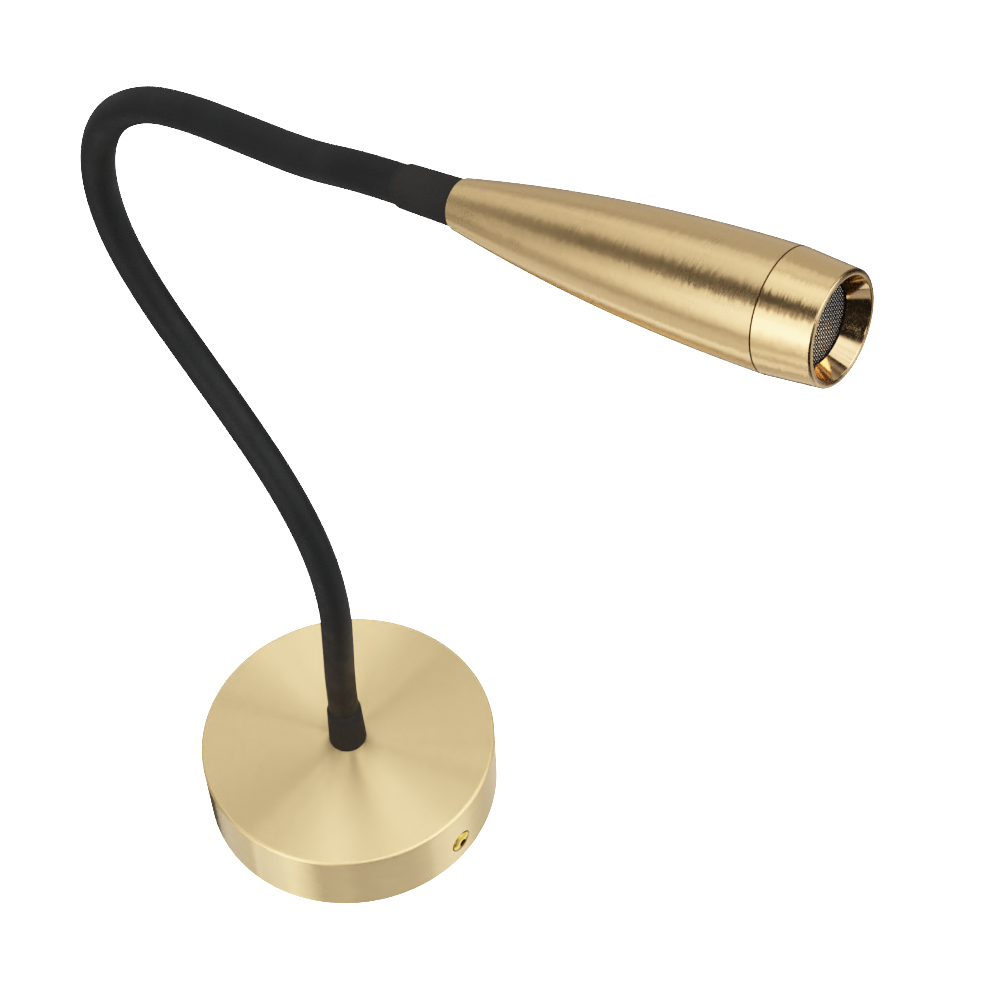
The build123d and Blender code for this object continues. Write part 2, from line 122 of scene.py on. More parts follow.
HINGE_S = [HINGE_FIRST + (HINGE_LAST - HINGE_FIRST) * i / (HINGES - 1) for i in range(HINGES)]
half = (HINGE_S[1] - HINGE_S[0]) / 2
CUTS = [HINGE_S[0] - half] + [(a + b) / 2 for a, b in zip(HINGE_S, HINGE_S[1:])] + [HINGE_S[-1] + half]


def frame_matrix(origin, x, z):
    y = z.cross(x)
    m = Matrix((x, y, z)).transposed().to_4x4()
    m.translation = origin * MM
    return m


hp, ht, hup, hrt = station(NECK_L)
BASE = frame_matrix(Vector((0, 0, 0)), Vector((1, 0, 0)), Vector((0, -1, 0)))
HEAD = frame_matrix(hp, hrt.normalized(), ht.normalized())


# ------------------------------------------------------------------ mesh helpers
def add_object(name, verts, faces, matrix=None, materials=(), face_mats=None, smooth=True):
    me = bpy.data.meshes.new(name)
    me.from_pydata([tuple(v) for v in verts], [], faces)
    me.validate()
    if matrix is not None:
        me.transform(matrix)
    me.update()
    if smooth:
        me.shade_smooth()
    ob = bpy.data.objects.new(name, me)
    bpy.context.scene.collection.objects.link(ob)
    for m in materials:
        me.materials.append(m)
    if face_mats is not None:
        me.polygons.foreach_set("material_index", np.array(face_mats, np.int32))
    return ob


def arc3(a, b, c, n):
    """Points of the arc a-b-c and their unit vectors from its centre."""
    (x1, y1), (x2, y2), (x3, y3) = a, b, c
    d = 2 * (x1 * (y2 - y3) + x2 * (y3 - y1) + x3 * (y1 - y2))
    ux = ((x1 ** 2 + y1 ** 2) * (y2 - y3) + (x2 ** 2 + y2 ** 2) * (y3 - y1) + (x3 ** 2 + y3 ** 2) * (y1 - y2)) / d
    uy = ((x1 ** 2 + y1 ** 2) * (x3 - x2) + (x2 ** 2 + y2 ** 2) * (x1 - x3) + (x3 ** 2 + y3 ** 2) * (x2 - x1)) / d
    r = math.hypot(x1 - ux, y1 - uy)
    a1, a2, a3 = (math.atan2(q[1] - uy, q[0] - ux) for q in (a, b, c))
    turn = (a3 - a1) % (2 * math.pi)
    if (a2 - a1) % (2 * math.pi) > turn:
        turn -= 2 * math.pi
    out = []
    for i in range(n + 1):
        w = a1 + turn * i / n
        out.append(((ux + r * math.cos(w), uy + r * math.sin(w)), (math.cos(w), math.sin(w))))
    return out


def profile(points, step=2.0, arc_n=10):
    """Runs of (point, normal) from a closed profile in (radius, z); a point may be ("arc", via, end[, parts]) and a dict sets the run's material."""
    runs, last, first, mat, area = [], None, None, 0, 0.0
    items = list(points)
    for q in items + ["close"]:
        if isinstance(q, dict):
            mat = q["mat"]
            continue
        if q == "close":
            q = first
            if math.hypot(q[0] - last[0], q[1] - last[1]) < 1e-9:
                break
        if q[0] == "arc":
            pts = arc3(last, q[1], q[2], q[3] if len(q) > 3 else arc_n)
            runs.append(["arc", pts, mat])
            last = q[2]
            continue
        if last is not None:
            ln = math.hypot(q[0] - last[0], q[1] - last[1])
            n = max(1, int(ln / step))
            d = ((q[0] - last[0]) / ln, (q[1] - last[1]) / ln)
            pts = [((last[0] + d[0] * ln * i / n, last[1] + d[1] * ln * i / n), (d[1], -d[0])) for i in range(n + 1)]
            runs.append(["line", pts, mat])
        else:
            first = q
        last = q
    for _, pts, _ in runs:
        for (a, _), (b, _) in zip(pts, pts[1:]):
            area += a[0] * b[1] - b[0] * a[1]
    sign = 1.0 if area > 0 else -1.0
    for r in runs:
        if r[0] == "line":
            r[1] = [(q, (nn[0] * sign, nn[1] * sign)) for q, nn in r[1]]
        else:
            (a, na), (b, _) = r[1][0], r[1][1]
            out = ((b[1] - a[1]) * sign, -(b[0] - a[0]) * sign)
            if out[0] * na[0] + out[1] * na[1] < 0:
                r[1] = [(q, (-nn[0], -nn[1])) for q, nn in r[1]]
    return runs, sign


def lathe(name, points, matrix, materials, seg=192, step=2.0, arc_n=10, cutters=()):
    """Closed surface of revolution about local Z, with the profile's own normals."""
    runs, sign = profile(points, step, arc_n)
    prof, mats, nrm = [], [], []
    for _, pts, mat in runs:
        for (a, na), (b, nb) in zip(pts, pts[1:]):
            prof.append(a)
            mats.append(mat)
            nrm.append((na, nb))
    m = len(prof)
    verts, index = [], []
    ang = [2 * math.pi * j / seg for j in range(seg)]
    for r, z in prof:
        if r < 1e-9:
            index.append([len(verts)] * seg)
            verts.append((0, 0, z * MM))
        else:
            index.append(list(range(len(verts), len(verts) + seg)))
            verts += [(r * MM * math.cos(w), r * MM * math.sin(w), z * MM) for w in ang]
    faces, fm, ln = [], [], []
    for i in range(m):
        k = (i + 1) % m
        if prof[i][0] < 1e-9 and prof[k][0] < 1e-9:
            continue
        for j in range(seg):
            jj = (j + 1) % seg
            corners = [(index[i][j], nrm[i][0], j), (index[i][jj], nrm[i][0], jj), (index[k][jj], nrm[i][1], jj), (index[k][j], nrm[i][1], j)]
            if sign < 0:
                corners.reverse()
            seen, face, ns = set(), [], []
            for v, nn, jw in corners:
                if v not in seen:
                    seen.add(v)
                    face.append(v)
                    w = ang[jw]
                    if prof[i][0] < 1e-9 or prof[k][0] < 1e-9:
                        w = ang[jw] if verts[v][0] or verts[v][1] else (ang[j] + math.pi / seg)
                    ns.append((nn[0] * math.cos(w), nn[0] * math.sin(w), nn[1]))
            faces.append(face)
            fm.append(mats[i])
            ln += ns
    ob = add_object(name, verts, faces, None, materials, fm)
    turn = matrix.to_3x3()
    if not cutters:
        ob.data.transform(matrix)
        ob.data.normals_split_custom_set([turn @ Vector(q).normalized() for q in ln])
        return ob
    for cut in cutters:
        mod = ob.modifiers.new("cut", "BOOLEAN")
        mod.operation, mod.solver, mod.object = "DIFFERENCE", "EXACT", cut
    bpy.context.view_layer.update()
    dg = bpy.context.evaluated_depsgraph_get()
    me = bpy.data.meshes.new_from_object(ob.evaluated_get(dg))
    ob.modifiers.clear()
    old = ob.data
    ob.data = me
    bpy.data.meshes.remove(old)
    for cut in cutters:
        bpy.data.objects.remove(cut)
    me.shade_smooth()
    me.set_sharp_from_angle(angle=math.radians(35))
    # the turned surfaces keep the profile's exact normals, the cut ones their own
    normals = []
    for f in me.polygons:
        c = f.center / MM
        r, z = math.hypot(c.x, c.y), c.z
        if r < 1e-6:
            normals += [(0, 0, 0)] * len(f.vertices)
            continue
        nr, nz = (f.normal.x * c.x + f.normal.y * c.y) / r, f.normal.z
        best = None
        for kind, pts, _ in runs:
            (a, na), (b, nb) = pts[0], pts[-1]
            if kind == "line":
                ll = math.hypot(b[0] - a[0], b[1] - a[1])
                d = ((b[0] - a[0]) / ll, (b[1] - a[1]) / ll)
                along = (r - a[0]) * d[0] + (z - a[1]) * d[1]
                off = abs((r - a[0]) * d[1] - (z - a[1]) * d[0])
                if -0.05 < along < ll + 0.05 and off < 0.03 and na[0] * nr + na[1] * nz > 0.995 and (best is None or off < best[0]):
                    best = (off, lambda rr, zz, na=na: na)
            else:
                for (q0, n0), (q1, n1) in zip(pts, pts[1:]):
                    mx, mz = (q0[0] + q1[0]) / 2, (q0[1] + q1[1]) / 2
                    off = math.hypot(r - mx, z - mz)
                    if off < 0.7 * math.hypot(q1[0] - q0[0], q1[1] - q0[1]) and n0[0] * nr + n0[1] * nz > 0.97 and (best is None or off * 0.05 < best[0]):
                        def lerp(rr, zz, q0=q0, n0=n0, q1=q1, n1=n1):
                            w = math.hypot(rr - q0[0], zz - q0[1]) / max(math.hypot(q1[0] - q0[0], q1[1] - q0[1]), 1e-9)
                            w = min(1.0, w)
                            return (n0[0] + (n1[0] - n0[0]) * w, n0[1] + (n1[1] - n0[1]) * w)
                        best = (off * 0.05, lerp)
        for v in f.vertices:
            if best is None:
                normals.append((0, 0, 0))
                continue
            co = me.vertices[v].co / MM
            rr = max(math.hypot(co.x, co.y), 1e-9)
            nn = best[1](rr, co.z)
            normals.append(Vector((nn[0] * co.x / rr, nn[0] * co.y / rr, nn[1])).normalized())
    me.transform(matrix)
    me.normals_split_custom_set([turn @ Vector(q) for q in normals])
    return ob


def tube(name, path, radius_out, radius_in, material, seg=64, shape=None):
    """Closed tube (or rod, with radius_in 0) along path = [(point, right, up, length)], in millimetres."""
    verts, faces = [], []
    n = len(path)
    ang = [2 * math.pi * j / seg for j in range(seg)]
    for layer, r0 in enumerate((radius_out, radius_in)):
        if layer and not radius_in:
            break
        for q, x, y, s in path:
            for w in ang:
                r = r0 if layer or shape is None else r0 + shape(s, w)
                verts.append((q + x * (r * math.cos(w)) + y * (r * math.sin(w))) * MM)
    for i in range(n - 1):
        for j in range(seg):
            jj = (j + 1) % seg
            a, b, c, d = i * seg + j, i * seg + jj, (i + 1) * seg + jj, (i + 1) * seg + j
            faces.append((a, b, c, d))
            if radius_in:
                o = n * seg
                faces.append((a + o, d + o, c + o, b + o))
    for i, flip in ((0, False), (n - 1, True)):
        if radius_in:
            for j in range(seg):
                jj = (j + 1) % seg
                a, b = i * seg + j, i * seg + jj
                o = n * seg
                f = (a, a + o, b + o, b)
                faces.append(f[::-1] if flip else f)
        else:
            ring = [i * seg + j for j in range(seg)]
            faces.append(ring if flip else ring[::-1])
    ob = add_object(name, verts, faces, None, (material,))
    return ob


def neck_path(s0, s1, step):
    n = max(2, int(math.ceil((s1 - s0) / step)))
    out = []
    for i in range(n + 1):
        s = s0 + (s1 - s0) * i / n
        q, t, up, rt = station(s)
        out.append((q, rt, -up, s))
    return out


# ------------------------------------------------------------------ material helpers
class Mat:
    def __init__(self, name):
        self.m = bpy.data.materials.new(name)
        self.m.use_nodes = True
        self.nt = self.m.node_tree
        self.nt.nodes.clear()
        self.out = self.nt.nodes.new("ShaderNodeOutputMaterial")
        self.p = self.nt.nodes.new("ShaderNodeBsdfPrincipled")
        self.nt.links.new(self.p.outputs[0], self.out.inputs[0])
        self.obj = self.nt.nodes.new("ShaderNodeTexCoord").outputs["Object"]

    def put(self, sock, value):
        if isinstance(value, bpy.types.NodeSocket):
            self.nt.links.new(value, sock)
        else:
            sock.default_value = value

    def math(self, op, *args, clamp=False):
        n = self.nt.nodes.new("ShaderNodeMath")
        n.operation, n.use_clamp = op, clamp
        for s, v in zip(n.inputs, args):
            self.put(s, v)
        return n.outputs[0]

    def vec(self, op, *args):
        n = self.nt.nodes.new("ShaderNodeVectorMath")
        n.operation = op
        for i, v in enumerate(args):
            self.put(n.inputs[3] if op == "SCALE" and i == 1 else n.inputs[i], v)
        return n.outputs["Value"] if op in ("DOT_PRODUCT", "LENGTH") else n.outputs[0]

    def split(self, v):
        n = self.nt.nodes.new("ShaderNodeSeparateXYZ")
        self.put(n.inputs[0], v)
        return n.outputs[0], n.outputs[1], n.outputs[2]

    def join(self, x, y, z):
        n = self.nt.nodes.new("ShaderNodeCombineXYZ")
        for s, v in zip(n.inputs, (x, y, z)):
            self.put(s, v)
        return n.outputs[0]

    def noise(self, vec, scale, detail=2.0, rough=0.5):
        n = self.nt.nodes.new("ShaderNodeTexNoise")
        self.put(n.inputs["Vector"], vec)
        n.inputs["Scale"].default_value = scale
        n.inputs["Detail"].default_value = detail
        n.inputs["Roughness"].default_value = rough
        return n.outputs["Fac"]

    def voronoi(self, vec, scale, feature="F1"):
        n = self.nt.nodes.new("ShaderNodeTexVoronoi")
        n.feature = feature
        self.put(n.inputs["Vector"], vec)
        n.inputs["Scale"].default_value = scale
        return n.outputs["Distance"]

    def span(self, v, a, b, c, d, smooth=False):
        n = self.nt.nodes.new("ShaderNodeMapRange")
        if smooth:
            n.interpolation_type = "SMOOTHSTEP"
        self.put(n.inputs["Value"], v)
        for key, q in (("From Min", a), ("From Max", b), ("To Min", c), ("To Max", d)):
            n.inputs[key].default_value = q
        return n.outputs[0]

    def mix(self, f, a, b):
        n = self.nt.nodes.new("ShaderNodeMix")
        n.data_type = "RGBA"
        self.put(n.inputs["Factor"], f)
        self.put(n.inputs["A"], a if isinstance(a, bpy.types.NodeSocket) else (*a, 1.0))
        self.put(n.inputs["B"], b if isinstance(b, bpy.types.NodeSocket) else (*b, 1.0))
        return n.outputs["Result"]

    def bump(self, height, strength, distance, normal=None):
        n = self.nt.nodes.new("ShaderNodeBump")
        n.inputs["Strength"].default_value = strength
        n.inputs["Distance"].default_value = distance
        self.put(n.inputs["Height"], height)
        if normal is not None:
            self.put(n.inputs["Normal"], normal)
        return n.outputs[0]

    def set(self, **kw):
        for k, v in kw.items():
            self.put(self.p.inputs[k.replace("_", " ")], v)
        return self


def shade(c, f):
    return tuple(min(1.0, q * f) for q in c)


def about_axis(m, frame):
    """Height along the frame's Z, distance from it, the unit radial vector's two parts and the direction round it, for points at rest."""
    o, e1, e2, e3 = frame.to_translation(), *(tuple(frame.to_3x3().col[k]) for k in range(3))
    q = m.vec("SUBTRACT", m.obj, tuple(o))
    a, b, h = (m.vec("DOT_PRODUCT", q, e) for e in (e1, e2, e3))
    rho = m.math("SQRT", m.math("ADD", m.math("MULTIPLY", a, a), m.math("MULTIPLY", b, b)))
    ca, cb = m.math("DIVIDE", a, rho), m.math("DIVIDE", b, rho)
    circ = m.vec("ADD", m.vec("SCALE", e2, ca), m.vec("SCALE", e1, m.math("MULTIPLY", cb, -1.0)))
    return h, rho, ca, cb, circ


def turned_metal(name, frame, colour, rough, aniso, streak, line, fray, vary=0.10, rough_vary=0.16, bump=0.10, comb=0.0, graze=None):
    """Metal finished on a lathe about the frame's Z: brush lines run round the axis.
    streak is the number of streaks in a turn over 2 pi, line the finest line's width in mm, fray how far a line's normal leans along the line,
    comb how far the flanks of the lines lean across it, graze the tint of the reflection at grazing angles."""
    m = Mat(name)
    h, rho, ca, cb, circ = about_axis(m, frame)
    tr = m.nt.nodes.new("ShaderNodeVectorTransform")
    tr.vector_type, tr.convert_from, tr.convert_to = "VECTOR", "OBJECT", "WORLD"
    m.put(tr.inputs[0], circ)
    tangent = tr.outputs[0]
    run = m.math("SUBTRACT", h, rho)

    def lines(a, width, shift, detail=2.0, roughness=0.6):
        return m.noise(m.join(m.math("ADD", m.math("MULTIPLY", ca, a), shift), m.math("MULTIPLY", cb, a), m.math("MULTIPLY", run, 1000.0 / width)),
                       1.0, detail, roughness)

    fine = lines(streak * 1.5, line, 3.1, 1.0)
    mid = lines(streak, line * 1.6, 17.7, 1.0)
    broad = lines(streak * 0.35, line * 14.0, 41.3, 3.0)
    cloud = m.noise(m.obj, 55.0, 3.0, 0.55)
    tone = m.math("ADD", m.math("MULTIPLY", fine, 0.45), m.math("ADD", m.math("MULTIPLY", mid, 0.35), m.math("MULTIPLY", broad, 0.20)))
    f = m.span(tone, 0.36, 0.64, 0.0, 1.0)
    base = m.mix(f, shade(colour, 1 - vary), shade(colour, 1 + vary * 0.5))
    base = m.mix(m.span(cloud, 0.35, 0.75, 0.0, 0.35), base, shade(colour, 0.95))
    r = m.math("ADD", m.span(m.math("ADD", m.math("MULTIPLY", mid, 0.6), m.math("MULTIPLY", broad, 0.4)), 0.38, 0.62, rough * (1 - rough_vary), rough * (1 + rough_vary)),
               m.span(cloud, 0.3, 0.7, -0.012, 0.018))
    geo = m.nt.nodes.new("ShaderNodeNewGeometry")
    tooth = lines(streak, line * 1.3, 29.3, 0.0)
    lean = m.math("MULTIPLY", m.math("SUBTRACT", tooth, 0.5), fray)
    leant = m.vec("ADD", geo.outputs["Normal"], m.vec("SCALE", tangent, lean))

    def lobe(shader, tilt):
        n = leant if not tilt else m.vec("ADD", leant, m.vec("SCALE", m.vec("CROSS_PRODUCT", geo.outputs["Normal"], tangent), tilt))
        n = m.vec("NORMALIZE", n)
        if bump:
            n = m.bump(mid, bump, 0.00006, n)
        for key, v in (("Base Color", base), ("Metallic", 1.0), ("Roughness", r), ("Anisotropic", aniso), ("Anisotropic Rotation", 0.25), ("Tangent", tangent), ("Normal", n)):
            m.put(shader.inputs[key], v)
        if graze:
            shader.inputs["Specular Tint"].default_value = (*graze, 1.0)

    lobe(m.p, 0.0)
    if comb:
        # both flanks of the brush lines and their floor, a third each
        flanks = [m.nt.nodes.new("ShaderNodeBsdfPrincipled") for _ in range(2)]
        lobe(flanks[0], comb)
        lobe(flanks[1], -comb)
        both, every = m.nt.nodes.new("ShaderNodeMixShader"), m.nt.nodes.new("ShaderNodeMixShader")
        both.inputs[0].default_value, every.inputs[0].default_value = 0.5, 1 / 3
        for mix, a, b in ((both, flanks[0], flanks[1]), (every, both, m.p)):
            m.nt.links.new(a.outputs[0], mix.inputs[1])
            m.nt.links.new(b.outputs[0], mix.inputs[2])
        m.nt.links.new(every.outputs[0], m.out.inputs[0])
    return m.m


def polished_metal(name, frame, colour, rough, streak=14.0, line=0.25, bump=0.02, socket=0.0, painted_shade_angle=None):
    """Bright turned metal: faint tool lines and small stains; rougher, and darkened as painted shade, nearer the axis
    than socket; darker and browner as painted shade towards the given angle.
    """
    m = Mat(name)
    h, rho, ca, cb, circ = about_axis(m, frame)
    tool = m.noise(m.join(m.math("MULTIPLY", ca, streak), m.math("MULTIPLY", cb, streak), m.math("MULTIPLY", m.math("SUBTRACT", h, rho), 1000.0 / line)), 1.0, 2.0, 0.5)
    cloud = m.noise(m.obj, 260.0, 3.0, 0.6)
    base = m.mix(m.span(tool, 0.35, 0.65, 0.0, 1.0), shade(colour, 0.95), shade(colour, 1.03))
    base = m.mix(m.span(cloud, 0.5, 0.8, 0.0, 0.5), base, shade(colour, 0.86))
    r = m.math("ADD", m.span(tool, 0.4, 0.6, rough * 0.8, rough * 1.2), m.span(cloud, 0.45, 0.8, 0.0, rough * 0.8))
    # painted shade: towards the given angle the brass turns darker and browner
    if painted_shade_angle:
        w = math.radians(painted_shade_angle)
        side = m.math("ADD", m.math("ADD", m.math("MULTIPLY", ca, math.cos(w)), m.math("MULTIPLY", cb, math.sin(w))), m.math("MULTIPLY", m.math("SUBTRACT", cloud, 0.5), 0.5))
        base = m.mix(m.span(side, 0.0, 0.9, 0.0, 0.75, smooth=True), base, tuple(v * f for v, f in zip(colour, (0.42, 0.36, 0.30))))
    # painted shade: inside the hex socket the colour is darkened; the roughness is raised there too
    if socket:
        socket_shade = m.span(rho, (socket - 0.08) * MM, socket * MM, 1.0, 0.0)
        base = m.mix(socket_shade, base, (0.22, 0.17, 0.07))
        r = m.math("ADD", r, m.math("MULTIPLY", socket_shade, 0.3))
    # the tool's marks, about a millimetre from crest to crest
    wave = m.noise(m.join(m.math("MULTIPLY", ca, 2.0), m.math("MULTIPLY", cb, 2.0), m.math("MULTIPLY", m.math("SUBTRACT", h, rho), 900.0)), 1.0, 0.0)
    m.set(Base_Color=base, Metallic=1.0, Roughness=r, Normal=m.bump(wave, max(bump, 0.02), 0.00004))
    return m.m


def plated(name, colour, rough, scale=900.0, stain=0.12, streaky=(1.0, 1.0, 1.0), metallic=1.0):
    """Plated or pressed sheet: spangle, faint rolling lines, stained patches."""
    m = Mat(name)
    v = m.vec("MULTIPLY", m.obj, tuple(streaky))
    grain = m.noise(v, scale, 3.0, 0.6)
    cell = m.voronoi(v, scale * 0.45)
    cloud = m.noise(m.obj, 60.0, 4.0, 0.6)
    base = m.mix(m.span(cell, 0.2, 0.8, 0.0, 0.7), shade(colour, 1.06), shade(colour, 0.90))
    base = m.mix(m.span(cloud, 0.45, 0.75, 0.0, 1.0), base, shade(colour, 1 - stain))
    r = m.math("ADD", m.span(grain, 0.35, 0.65, rough * 0.85, rough * 1.2), m.span(cloud, 0.4, 0.7, 0.0, 0.06))
    m.set(Base_Color=base, Metallic=metallic, Roughness=r, Normal=m.bump(grain, 0.12, 0.0001))
    return m.m


def moulded(name, colour, rough, scale=1400.0, bump=0.12, vary=0.12, spec=0.5, grime=0.25, transmission=0.0):
    """Moulded plastic or rubber: fine spark texture, slow colour drift and dusty patches."""
    m = Mat(name)
    grain = m.noise(m.obj, scale, 3.0, 0.65)
    drift = m.noise(m.obj, 45.0, 3.0, 0.5)
    patch = m.noise(m.vec("ADD", m.obj, (0.31, 0.12, 0.77)), 120.0, 4.0, 0.6)
    base = m.mix(m.span(drift, 0.3, 0.7, 0.0, 1.0), shade(colour, 1 - vary), shade(colour, 1 + vary))
    base = m.mix(m.span(grain, 0.45, 0.75, 0.0, grime), base, shade(colour, 1 + 2.2 * vary))
    r = m.math("ADD", m.span(patch, 0.3, 0.75, rough * 0.88, rough * 1.12), m.span(grain, 0.4, 0.7, -0.02, 0.03))
    m.set(Base_Color=base, Roughness=r, Specular_IOR_Level=spec, Normal=m.bump(grain, bump, 0.00008))
    if transmission:
        m.set(Transmission_Weight=transmission)
    return m.m


def crest_glint_wire(name, frame, middle, colour, crest):
    """Black woven wire with bright metal only on the crests that stand over the cloth's middle height: a painted
    highlight for the glints on the crests.
    """
    m = Mat(name)
    h, rho, ca, cb, circ = about_axis(m, frame)
    grain = m.noise(m.obj, 2600.0, 3.0, 0.6)
    patch = m.noise(m.obj, 260.0, 3.0, 0.6)
    # painted highlight: bright metal on the crests only, black below them
    crest_glint = m.span(m.math("ADD", h, m.math("MULTIPLY", m.math("SUBTRACT", patch, 0.5), 0.00008)), (middle + 0.165) * MM, (middle + 0.235) * MM, 0.0, 1.0, smooth=True)
    base = m.mix(crest_glint, m.mix(grain, shade(colour, 0.8), shade(colour, 1.5)), m.mix(m.span(patch, 0.35, 0.7, 0.0, 1.0), crest, shade(crest, 0.72)))
    m.set(Base_Color=base, Metallic=crest_glint, Roughness=m.span(grain, 0.3, 0.7, 0.24, 0.42), Normal=m.bump(grain, 0.10, 0.00005))
    return m.m


def two_tone(name, axis, colour_a, colour_b, rough, spec=0.5):
    """Two leads in one node: the side of a plane through the lamp's middle picks the colour."""
    m = Mat(name)
    side = m.math("GREATER_THAN", m.vec("DOT_PRODUCT", m.vec("SUBTRACT", m.obj, axis[0]), axis[1]), 0.0)
    grain = m.noise(m.obj, 1600.0, 2.0, 0.6)
    drift = m.noise(m.obj, 90.0, 3.0, 0.5)
    base = m.mix(side, colour_b, colour_a)
    dark = m.nt.nodes.new("ShaderNodeMix")
    dark.data_type, dark.blend_type = "RGBA", "MULTIPLY"
    m.put(dark.inputs["Factor"], m.span(drift, 0.3, 0.7, 0.0, 0.5))
    m.put(dark.inputs["A"], base)
    m.put(dark.inputs["B"], (0.75, 0.75, 0.75, 1.0))
    m.set(Base_Color=dark.outputs["Result"], Roughness=m.span(grain, 0.35, 0.65, rough * 0.85, rough * 1.15), Specular_IOR_Level=spec,
          Normal=m.bump(grain, 0.08, 0.00006))
    return m.m


# ------------------------------------------------------------------ materials
PALE = (0.92, 0.695, 0.370)
DEEP = (0.92, 0.650, 0.338)
UPRIGHT = frame_matrix(Vector((0, -9.9, 0)), Vector((1, 0, 0)), Vector((0, 0, 1)))
# roughness along and across the brush lines, as the shader's roughness and anisotropy
def finish(along, across):
    return math.sqrt(math.sqrt(along * across)), (1 - along / across) / 0.9


mat_plate = turned_metal("brushed_brass_plate", BASE, PALE, *finish(0.020, 0.20), 9.0, 0.32, 0.015, vary=0.03, rough_vary=0.03, bump=0.02, comb=0.30, graze=(0.42, 0.36, 0.25))
mat_edge = turned_metal("brushed_brass_edge", BASE, PALE, *finish(0.22, 0.40), 6.0, 0.32, 0.02, vary=0.03, rough_vary=0.03, bump=0.02)
mat_rim = turned_metal("brushed_brass_rim", BASE, PALE, *finish(0.03, 0.15), 4.0, 0.32, 0.02, vary=0.03, rough_vary=0.03, bump=0.02)
mat_shell = turned_metal("brushed_brass_tone", HEAD, DEEP, *finish(0.042, 0.16), 6.5, 0.32, 0.10, vary=0.04, rough_vary=0.03, bump=0.015)
mat_cap = turned_metal("brushed_brass_cap", HEAD, (0.92, 0.637, 0.325), *finish(0.036, 0.12), 6.5, 0.32, 0.10, vary=0.03, rough_vary=0.03, bump=0.015)
mat_bright = polished_metal("polished_brass", HEAD, (0.93, 0.636, 0.345), 0.10, bump=0.0)
# painted shade: the lip's brass is darkened all round, and darker and browner on one side
mat_lip = polished_metal("lip_brass", HEAD, (0.53, 0.370, 0.200), 0.24, painted_shade_angle=13.0)
# painted shade: dark brown on the walls of the side screws' holes and on the seam faces between shell and bezel
mat_hollow_shade = plated("groove_painted_shade", (0.11, 0.065, 0.028), 0.50, 1400.0)
# the side screws' sockets are darkened as painted shade
mat_screw = polished_metal("screw_brass", UPRIGHT, (0.93, 0.62, 0.13), 0.16, 10.0, 0.12, socket=1.40)
mat_inside = plated("spun_brass_inside", (0.55, 0.43, 0.25), 0.45, 700.0)
mat_zinc = plated("zinc_steel", (0.62, 0.63, 0.64), 0.36, 520.0, 0.16, (1.0, 1.0, 0.35))
mat_tinned = plated("tinned_brass", (0.74, 0.66, 0.44), 0.30, 1500.0)
mat_hose = plated("hose_steel", (0.50, 0.51, 0.53), 0.34, 1800.0)
mat_black = moulded("black_silicone", (0.0150, 0.0150, 0.0155), 0.62, 1700.0, 0.10, 0.16, 0.25, 0.20)
mat_collar = moulded("black_collar", (0.0300, 0.0285, 0.0278), 0.75, 1500.0, 0.08, 0.14, 0.12, 0.20)
mat_cable = moulded("cable_jacket", (0.035, 0.035, 0.037), 0.45, 1500.0, 0.08)
mat_white = moulded("white_polyamide", (0.72, 0.71, 0.66), 0.42, 1200.0, 0.08, 0.05)
mat_case = moulded("driver_housing", (0.70, 0.70, 0.68), 0.50, 1300.0, 0.22, 0.05)
mat_plastic = moulded("black_plastic", (0.016, 0.016, 0.017), 0.42, 1500.0, 0.14)
mat_component = moulded("component_black", (0.03, 0.03, 0.035), 0.38, 1000.0, 0.08)
mat_foam = moulded("foam_tape", (0.66, 0.66, 0.64), 0.85, 2600.0, 0.8, 0.2)
mat_pcb = moulded("circuit_board", (0.02, 0.13, 0.055), 0.34, 1400.0, 0.06, 0.25)
mat_led_board = moulded("led_board_white", (0.78, 0.78, 0.76), 0.35, 1500.0, 0.05, 0.03)
mat_phosphor = moulded("led_phosphor", (0.80, 0.62, 0.10), 0.45, 2400.0, 0.1, 0.06)
mat_sink = turned_metal("heat_sink_aluminium", HEAD, (0.62, 0.63, 0.65), 0.36, 0.6, 3.0, 0.12, 0.05)
# the mesh's bright crests are a painted highlight
mat_mesh = crest_glint_wire("mesh_wire", HEAD, 96.235, (0.022, 0.021, 0.021), (0.95, 0.92, 0.90))
# painted shade: the bezel's own brass step round the mesh is coloured near-black
mat_step_shade = moulded("step_painted_shade", (0.012, 0.011, 0.011), 0.55, 1500.0, 0.08, 0.14, 0.25, 0.2)
mat_earth = two_tone("lead_earth", ((0, 0, -0.0125), (0, 0, 1)), (0.05, 0.34, 0.06), (0.62, 0.55, 0.05), 0.42)
mat_mains = two_tone("lead_brown", ((0, 0, 0), (0, 0, 1)), (0.14, 0.055, 0.025), (0.02, 0.09, 0.38), 0.40)
mat_led_leads = two_tone("lead_red", (tuple(hp * MM), tuple(hrt)), (0.42, 0.02, 0.02), (0.015, 0.015, 0.016), 0.42)

lens = Mat("lens_clear")
haze = lens.noise(lens.obj, 900.0, 3.0, 0.5)
lens.set(Base_Color=lens.mix(lens.span(haze, 0.3, 0.7, 0.0, 1.0), (0.93, 0.95, 0.95), (0.98, 0.99, 0.99)),
         Roughness=lens.span(haze, 0.3, 0.7, 0.03, 0.09), Transmission_Weight=1.0, IOR=1.49, Normal=lens.bump(haze, 0.03, 0.00005))
mat_lens = lens.m

